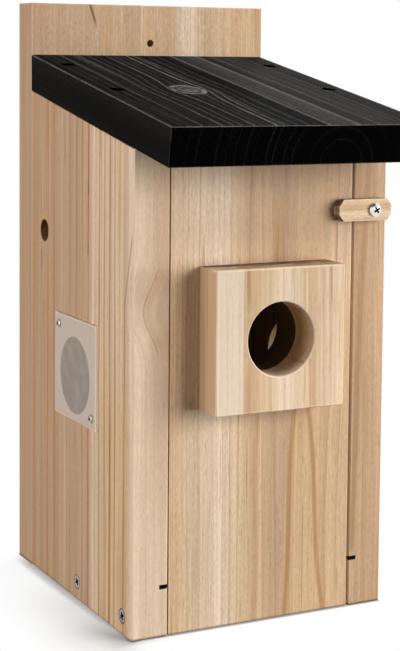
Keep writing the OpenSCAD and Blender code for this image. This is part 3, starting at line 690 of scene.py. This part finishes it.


# sawn sides, pores on the ends, pale edges that are partly wear and partly painted highlight, a painted
# highlight on the entrance rim, painted contact shade at the foot, and darkened cut walls
def sawnMarks(kit, parts, grain, board, colour):
    for side in board.get("sides", []):
        tone, amount = side["paint"]
        flat = kit.times(kit.rise(axisOf(parts, side["axis"]), *side["span"], amount),
                         faceMark(kit, parts, side.get("face")))
        colour = kit.blend(flat, colour, tones[tone])
        for clear, full, strength, lineTone in wood["sideLines"]:
            shown = kit.times(kit.rise(grain.line, clear, full, strength), flat)
            colour = kit.blend(shown, colour, tones[lineTone])
    low, high = inMillimetres(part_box(board["nodes"][0]))
    end = "xyz".index(board["axes"][2])
    toEnd = kit.least(kit.minus(parts[end], low[end]), kit.minus(high[end], parts[end]))
    pores = kit.noise(kit.vector("MULTIPLY", kit.join(*parts), wood["poreScale"]), *wood["pores"])[0]
    # painted shade: on some boards the end grain darkens towards one side
    if "endShadeLean" in board:
        letter, *lean = board["endShadeLean"]
        pores = kit.plus(pores, kit.step(axisOf(parts, letter), *lean))
    atEnd = kit.step(toEnd, *wood["endDepth"])
    for tone, clear, full in board.get("ends", wood["ends"]):
        shown = kit.times(atEnd, kit.step(pores, clear, full, *wood["endAmount"]))
        colour = kit.blend(shown, colour, tones[tone])
    # pale edges: partly wear, partly a painted highlight on the rounded arrises
    width = board.get("edgeWidth", wood["edgeWidth"])
    edge = kit.times(kit.step(edgeGap(kit, parts, low, high), width, wood["edgeCore"] * width),
                     kit.step(grain.fibre, *wood["edgeBreak"], 0.5 * board["edges"], board["edges"]))
    for face in board.get("edgeFaces", []):
        edge = kit.times(edge, faceMark(kit, parts, face))
    colour = kit.blend(edge, colour, tones[board.get("edgeHighlightTone", "cream")])
    # painted highlight round the entrance's rim
    if "rimHighlight" in board:
        rimHighlight = board["rimHighlight"]
        near = kit.step(boreReach(kit, parts, "y", rimHighlight["at"]), rimHighlight["radius"] + 0.8, rimHighlight["radius"] + 0.5)
        colour = kit.blend(kit.times(near, kit.step(parts[1], *rimHighlight["front"])), colour, tones["cream"])
    # painted contact shade: the foot of a board darkens where it meets the ground
    colour = kit.blend(kit.rise(parts[2], *wood["footShade"]), colour, tones["resin"])
    for cut in board.get("cuts", []):
        colour = kit.blend(cutMark(kit, parts, cut), colour, tones[cut["paint"][0]])
    return colour


# relief of the grain: fibre + hair * hairs + late * years
def grainRelief(kit, grain, hair, late):
    return kit.grow(grain.late, late, kit.grow(grain.hair, hair, grain.fibre))


def softwoodFinish(name, board):
    kit = newFinish(name)
    parts = kit.split(kit.place())
    grain = woodGrain(kit, parts, board)
    colour = boardColour(kit, parts, grain, board)
    colour = grainMarks(kit, parts, grain, board, colour)
    dress(kit, board["nodes"], {
        "Base Color": sawnMarks(kit, parts, grain, board, colour),
        "Roughness": kit.grow(grain.fibre, *wood["rough"]),
        "Specular IOR Level": wood["shine"],
        "Normal": kit.bump(grainRelief(kit, grain, *wood["relief"]), *wood["bump"]),
    })


for boardName, board in boards.items():
    softwoodFinish(boardName + "Wood", board)
print("boards finished")

# black stained roof board: the same rings, seen as grey ridges on the top and faint arcs on the front end,
# with bands of painted sheen on the top
roofBoard = dict(
    nodes=["roof_panel"], axes="xzy", pith=(20.9, -21.5), taper=0.01, ringGap=5.2, drift=0.6, fine=0.4,
    seed=41.7, slope=10, rearTop=(0, 60.75, 292), size=(146, 186.84, 20),
    top=(-0.75, -0.35), flank=(72.3, 72.7),  # where the top and the two sides begin
    knot=dict(at=(-23, -100), width=14.5, length=19, lift=8, fade=0.7, noise=(0.16, 3, 0.6),
              wobble=0.3, eye=0.6, eyeEdge=0.05, outline=(0.12, 0.03), outlineBreak=(0.4, 0.56, 0.3, 0.9),
              rings=26, ringLight=(0.16, 0.36), ringBreak=(0.35, 0.6, 0.5, 1.2), amount=0.8),
    ridges=dict(late=(0.09, 0.8), lateFibre=(0.35, 0.62, 0.4, 1), lateDash=(0.3, 0.65, 0.5, 1),
                line=(0.52, 0.7), lineDash=(0.35, 0.6, 0.15, 0.35),
                standFrom=90, standNoise=(0.06, 1), stand=(0.35, 0.62, 0.5, 1),
                right=(-6, 4, 1, 0.4), left=(-72, -10, 0.65, 1), onTop=0.8, below=(0.08, 0.07)),
    sheenBands=[(-73, 0), (-60, 0.02), (-12, 0.02), (-5, 0.005), (11, 0.005), (12.3, 0.36),
           (14, 0.09), (27, 0.15), (29.6, 0.38), (31, 0.04), (45, 0.09), (60, 0.05), (73, 0.05)],
    bandFibre=(0.3, 0.65, 0.6, 1.2), flankLight=0.03,
    mottleScale=(1.3, 0.4, 1.3), mottleNoise=(1, 3, 0.7), mottle=(0.3, 0.7, 0.55, 1.45),
    rubNoise=(0.12, 4, 0.65), rub=(0.3, 0.65, 0.35, 1), rubHeight=(-9, -1, 0.4, 0.9),
    rubWidth=(0.7, 0.4), rubBack=40, rough=(0.3, 0.5), shine=0.004, relief=(0.4, 0.8), bump=(0.0004, 0.6),
    stain=(0.0009, 0.0008, 0.0008), ridge=(0.22, 0.209, 0.2), worn=(0.12, 0.114, 0.108),
)


# ridges are max(years, lines) * stand: dark ends of years and thin lines, broken by fibres and dashes, plain
# in some bands of years and faint in others
def ridgeAmount(kit, x, grain, top, flank, ridges):
    stand = kit.noiseLine(kit.plus(grain.across, ridges["standFrom"]), *ridges["standNoise"])
    stand = kit.times(kit.step(stand, *ridges["stand"]), kit.step(x, *ridges["right"]))
    years = kit.times(kit.step(grain.late, *ridges["late"]), kit.step(grain.fibre, *ridges["lateFibre"]),
                      kit.step(grain.dash, *ridges["lateDash"]))
    lines = kit.times(kit.step(grain.line, *ridges["line"]), kit.step(grain.dash, *ridges["lineDash"]))
    place = kit.most(kit.times(top, ridges["onTop"]), kit.grow(flank, *ridges["below"]))
    return kit.times(kit.most(years, lines), stand, place, kit.step(x, *ridges["left"]))


# the eye of the knot: a pale outline, and inside it rings as sin(rings * gap)
def knotEye(kit, gap, wobble, knot):
    inside = kit.step(gap, knot["eye"] + knot["eyeEdge"], knot["eye"] - knot["eyeEdge"])
    outline = kit.times(kit.step(kit.apart(gap, knot["eye"]), *knot["outline"]),
                        kit.step(wobble, *knot["outlineBreak"]))
    wave = kit.times(kit.grow(kit.calc("SINE", kit.times(gap, knot["rings"])), *knot["ringLight"]),
                     kit.step(wobble, *knot["ringBreak"]))
    return kit.most(inside, outline), kit.most(kit.times(inside, wave), outline)


def roofFinish(board):
    kit = newFinish("blackRoofWood")
    turn = Euler((math.radians(-board["slope"]), 0.0, 0.0))
    move = -(turn.to_matrix() @ Vector(board["rearTop"]))
    spot = kit.place(move, turn)
    parts = kit.split(spot)
    x, y, z = parts
    # gap is 1 at the knot's width and length; round it the years move by -lift * aside * exp(-fade * gap^2)
    knot = board["knot"]
    aside = kit.over(kit.minus(x, knot["at"][0]), knot["width"])
    down = kit.over(kit.minus(y, knot["at"][1]), knot["length"])
    wobble = kit.noise(spot, *knot["noise"])[0]
    gap = kit.grow(kit.minus(wobble, 0.5), knot["wobble"], kit.length(aside, down))
    bell = kit.calc("EXPONENT", kit.times(gap, gap, -knot["fade"]))
    grain = woodGrain(kit, (kit.grow(kit.times(bell, aside), -knot["lift"], x), y, z), board)
    top, flank = kit.step(z, *board["top"]), kit.step(kit.calc("ABSOLUTE", x), *board["flank"])
    amount = ridgeAmount(kit, x, grain, top, flank, board["ridges"])
    # painted sheen: bands of a lighter grey on the top, then a fine mottle over it all
    wide, deep, thick = board["size"]
    band = kit.ramp(kit.grow(grain.across, 1 / wide, 0.5),
                    [(at / wide + 0.5, light) for at, light in board["sheenBands"]])
    amount = kit.grow(kit.times(band, kit.step(grain.fibre, *board["bandFibre"])), top, amount)
    mottle = kit.noise(kit.vector("MULTIPLY", spot, board["mottleScale"]), *board["mottleNoise"])[0]
    amount = kit.grow(flank, board["flankLight"], kit.times(amount, kit.step(mottle, *board["mottle"])))
    colour = kit.blend(amount, board["stain"], board["ridge"])
    shown, eye = knotEye(kit, gap, wobble, knot)
    eyeColour = kit.blend(kit.times(eye, knot["amount"]), board["stain"], board["ridge"])
    colour = kit.blend(kit.times(shown, top), colour, eyeColour)
    # edges rubbed grey, but not at the back, where the board meets the back panel
    gapToEdge = edgeGap(kit, parts, (-wide / 2, -deep, -thick), (wide / 2, board["rubBack"], 0.0))
    edge = kit.times(kit.step(gapToEdge, *board["rubWidth"]),
                     kit.step(kit.noise(spot, *board["rubNoise"])[0], *board["rub"]),
                     kit.step(z, *board["rubHeight"]))
    dress(kit, board["nodes"], {
        "Base Color": kit.blend(edge, colour, board["worn"]),
        "Roughness": kit.grow(grain.fibre, *board["rough"]),
        "Specular IOR Level": board["shine"],
        "Normal": kit.bump(grainRelief(kit, grain, *board["relief"]), *board["bump"]),
    })


roofFinish(roofBoard)
print("roof finished")

# metals: bright and dull colour, roughness of each, blotches per millimetre. painted shade darkens a recess
# in a screw head: nearer the middle of the box than deep along its axis, and within wide of one of its marks.
# a ring is painted shade in the gap round a sunk head
metalLook = dict(
    blotch=(4, 0.6), scratchScale=(0.4, 0.4, 5), scratch=0.4, dullFrom=(0.45, 0.95), bump=(0.00001, 0.2),
    recess=(0.012, 0.011, 0.01),
)
metals = dict(
    sunkSteel=dict(
        nodes=["floor_screws", "door_pivot_screws"], colour=(0.42, 0.4, 0.36), dull=(0.22, 0.205, 0.18),
        rough=(0.2, 0.4), scale=0.5,
        recess=dict(axis="x", deep=72.8, wide=9, marks=[(-69.25, 10), (-8.75, 10)],
                    ring=dict(inner=(3.1, 3.6), outer=(4.4, 4.3), amount=0.85)),
    ),
    backSteel=dict(
        nodes=["back_panel_screws"], colour=(0.5, 0.49, 0.47), dull=(0.3, 0.29, 0.27), rough=(0.2, 0.4),
        scale=0.5, recess=dict(axis="y", deep=80.5, wide=400, marks=[(0, 0)]),
    ),
    hiddenSteel=dict(
        nodes=["guard_block_screws", "bracket_screws"], colour=(0.46, 0.45, 0.43), dull=(0.28, 0.27, 0.25),
        rough=(0.2, 0.42), scale=0.5,
    ),
    windowSteel=dict(
        nodes=["window_screws"], colour=(0.42, 0.4, 0.37), dull=(0.24, 0.23, 0.21), rough=(0.2, 0.42),
        scale=0.5, recess=dict(axis="x", deep=75.95, wide=1.25, marks=[(-32.55, 103.7), (13.05, 147.3)]),
    ),
    latchSteel=dict(
        nodes=["latch_screw"], colour=(0.88, 0.87, 0.85), dull=(0.7, 0.69, 0.67), rough=(0.22, 0.36),
        scale=0.4, recess=dict(axis="y", deep=88.75, wide=1.95, marks=[(62.4, 213.06)]),
    ),
    bracketSteel=dict(
        nodes=["camera_bracket"], colour=(0.55, 0.55, 0.54), dull=(0.38, 0.38, 0.37), rough=(0.28, 0.5),
        scale=0.35,
    ),
)


# painted shade in a screw head: reach = distance from a mark in the face of the head; the shaded recess is
# reach < wide and |axis| < deep
def recessMark(kit, parts, recess):
    first, second = (part for letter, part in zip("xyz", parts) if letter != recess["axis"])
    reaches = [kit.length(kit.minus(first, u), kit.minus(second, v)) for u, v in recess["marks"]]
    near = kit.most(*(kit.step(reach, recess["wide"] + 0.1, recess["wide"]) for reach in reaches))
    depth = kit.calc("ABSOLUTE", axisOf(parts, recess["axis"]))
    sunk = kit.times(near, kit.step(depth, recess["deep"], recess["deep"] - 0.1))
    if "ring" not in recess:
        return sunk
    ring = recess["ring"]
    shown = kit.most(*(kit.times(kit.step(reach, *ring["inner"]), kit.step(reach, *ring["outer"]))
                       for reach in reaches))
    return kit.most(sunk, kit.times(shown, ring["amount"]))


# dull = step(blotch + scratch * scratches)
def metalFinish(name, metal):
    kit = newFinish(name)
    spot = kit.place()
    blotch = kit.noise(spot, metal["scale"], *metalLook["blotch"])[0]
    scratch = kit.noise(kit.vector("MULTIPLY", spot, metalLook["scratchScale"]))[0]
    amount = kit.step(kit.grow(scratch, metalLook["scratch"], blotch), *metalLook["dullFrom"])
    colour = kit.blend(amount, metal["colour"], metal["dull"])
    if "recess" in metal:
        colour = kit.blend(recessMark(kit, kit.split(spot), metal["recess"]), colour, metalLook["recess"])
    dress(kit, metal["nodes"], {
        "Base Color": colour,
        "Roughness": kit.step(amount, 0.0, 1.0, *metal["rough"]),
        "Metallic": 1.0,
        "Normal": kit.bump(scratch, *metalLook["bump"]),
    })


for metalName, metal in metals.items():
    metalFinish(metalName, metal)
print("metals finished")

# milky plates over the side windows, with painted shade over the holes, painted highlights on their edges and
# a painted glow at their front edges
plateFinish = dict(
    alpha=dict(left_window_plate=0.84, right_window_plate=0.3),
    backed=(0.74, 0.585, 0.475), open=(0.335, 0.258, 0.205), rimHighlight=(0.86, 0.74, 0.62),
    hole=(-9.75, 122.5), holeEdge=(20.1, 21.1), rimHighlightWidth=(1.1, 0.3), paintedEdgeGlow=0.3, glowFrom=(0.25, 0.05),
    cloudNoise=(0.12, 3), cloud=(0.4, 0.7, 0.12), gritScale=4, rough=(0.2, 0.32), bump=(0.00002, 0.3),
    insideRadius=(1, 0.9, 0.8), insideScale=0.003, insideWeight=0.8,
)


# painted shade: darker over the hole, where the box's dark inside lies behind the plate, than where the wood
# backs the plate: backed = step(length(y - hole, z - hole))
def milkyFinish(plate):
    for name, alpha in plate["alpha"].items():
        kit = newFinish(name + "Milky")
        spot = kit.place()
        parts = kit.split(spot)
        low, high = inMillimetres(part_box(name))
        backed = kit.step(boreReach(kit, parts, "x", plate["hole"]), *plate["holeEdge"])
        colour = kit.blend(backed, plate["open"], plate["backed"])
        cloud = kit.rise(kit.noise(spot, *plate["cloudNoise"])[0], *plate["cloud"])
        colour = kit.blend(cloud, colour, plate["rimHighlight"])
        # painted highlight on the plate's edges
        rimHighlight = kit.step(edgeGap(kit, parts, low, high), *plate["rimHighlightWidth"])
        grit = kit.noise(spot, plate["gritScale"])[0]
        # painted glow: the plate's front edge emits light, standing in for light carried inside the plate
        paintedGlow = kit.rise(parts[1], *(low[1] + reach for reach in plate["glowFrom"]), plate["paintedEdgeGlow"])
        dress(kit, [name], {
            "Base Color": kit.blend(rimHighlight, colour, plate["rimHighlight"]),
            "Roughness": kit.grow(grit, *plate["rough"]),
            "Emission Strength": paintedGlow,
            "Emission Color": (*plate["rimHighlight"], 1.0),
            "Alpha": alpha,
            "Subsurface Weight": plate["insideWeight"],
            "Subsurface Radius": plate["insideRadius"],
            "Subsurface Scale": plate["insideScale"],
            "Normal": kit.bump(grit, *plate["bump"]),
        })


milkyFinish(plateFinish)

# moulded and rubber pieces: colour, lighter wear, roughness, size of the moulded grain per millimetre
moulded = dict(grit=(3, 0.6), patch=(0.15, 3), gritWear=0.3, wornFrom=(0.5, 0.85), roughRange=0.2, bump=0.5)
mouldings = dict(
    blackPlastic=dict(
        nodes=["camera_housing", "camera_rear_cover", "lens_mount", "lens_barrel", "tilt_screws"],
        colour=(0.022, 0.022, 0.024), worn=(0.05, 0.05, 0.052), rough=0.46, scale=5, depth=0.00006,
    ),
    blackScrew=dict(
        nodes=["roof_screws"],
        colour=(0.0006, 0.0006, 0.0006), worn=(0.0015, 0.0015, 0.0015), rough=0.8, scale=0.9, depth=0.00003,
        shine=0,
    ),
    glandRubber=dict(
        nodes=["cable_gland"],
        colour=(0.016, 0.016, 0.016), worn=(0.04, 0.039, 0.037), rough=0.72, scale=3, depth=0.00005,
    ),
    sheetPlastic=dict(
        nodes=["raised_floor"],
        colour=(0.62, 0.62, 0.6), worn=(0.5, 0.49, 0.46), rough=0.4, scale=0.5, depth=0.00005,
    ),
    sensorChip=dict(
        nodes=["image_sensor"],
        colour=(0.03, 0.032, 0.036), worn=(0.06, 0.06, 0.07), rough=0.25, scale=2, depth=0.00002,
    ),
)


# wear = step(patch + gritWear * grit)
def mouldedFinish(name, piece):
    kit = newFinish(name)
    spot = kit.place()
    grit = kit.noise(spot, piece["scale"], *moulded["grit"])[0]
    patch = kit.noise(spot, *moulded["patch"])[0]
    wear = kit.step(kit.grow(grit, moulded["gritWear"], patch), *moulded["wornFrom"])
    rough = moulded["roughRange"]
    dress(kit, piece["nodes"], {
        "Base Color": kit.blend(wear, piece["colour"], piece["worn"]),
        "Roughness": kit.grow(patch, rough, piece["rough"] - rough / 2),
        "Specular IOR Level": piece.get("shine", 0.5),
        "Normal": kit.bump(grit, piece["depth"], moulded["bump"]),
    })


for pieceName, piece in mouldings.items():
    mouldedFinish(pieceName, piece)

circuit = dict(
    nodes=["led_board", "main_board"],
    mask=(0.012, 0.085, 0.035), track=(0.03, 0.16, 0.06), pad=(0.62, 0.5, 0.22),
    trackScale=0.35, trackWidth=(0.1, 0.06), padScale=0.55, padWidth=(0.22, 0.18), rough=(0.35, 0.25),
    bump=(0.00004, 0.5),
)


# tracks are the borders of a cell pattern, pads are small discs at the middles of a finer one
def circuitFinish(board):
    kit = newFinish("circuitBoard")
    parts = kit.split(kit.place())
    flat = kit.join(parts[0], parts[1], 0.0)
    border = kit.cells(flat, board["trackScale"], "DISTANCE_TO_EDGE")
    track = kit.step(border, *board["trackWidth"])
    pad = kit.step(kit.cells(flat, board["padScale"]), *board["padWidth"])
    colour = kit.blend(track, board["mask"], board["track"])
    dress(kit, board["nodes"], {
        "Base Color": kit.blend(pad, colour, board["pad"]),
        "Roughness": kit.step(pad, 0.0, 1.0, *board["rough"]),
        "Normal": kit.bump(kit.plus(track, pad), *board["bump"]),
    })


circuitFinish(circuit)

# clear and dark glazing of the camera
glazed = dict(noise=(0.8, 4), dust=(0.5, 0.8, 0.6), dustRough=0.15, ior=1.5)
glazing = dict(
    darkWindow=dict(nodes=["camera_front_window"], colour=(0.03, 0.008, 0.012), dust=(0.06, 0.05, 0.05),
                    rough=0.06, clear=0.25),
    lampResin=dict(nodes=["infrared_leds"], colour=(0.75, 0.8, 0.88), dust=(0.6, 0.63, 0.68),
                   rough=0.08, clear=0.85),
    lensGlass=dict(nodes=["lens_glass"], colour=(0.55, 0.62, 0.8), dust=(0.4, 0.42, 0.5),
                   rough=0.03, clear=0.9),
)


# dust = rise(noise), another colour than the pane and rougher
def glazedFinish(name, pane):
    kit = newFinish(name)
    dust = kit.rise(kit.noise(kit.place(), *glazed["noise"])[0], *glazed["dust"])
    dress(kit, pane["nodes"], {
        "Base Color": kit.blend(dust, pane["colour"], pane["dust"]),
        "Roughness": kit.grow(dust, glazed["dustRough"], pane["rough"]),
        "Transmission Weight": pane["clear"],
        "IOR": glazed["ior"],
    })


for paneName, pane in glazing.items():
    glazedFinish(paneName, pane)
print("plastics and glass finished")
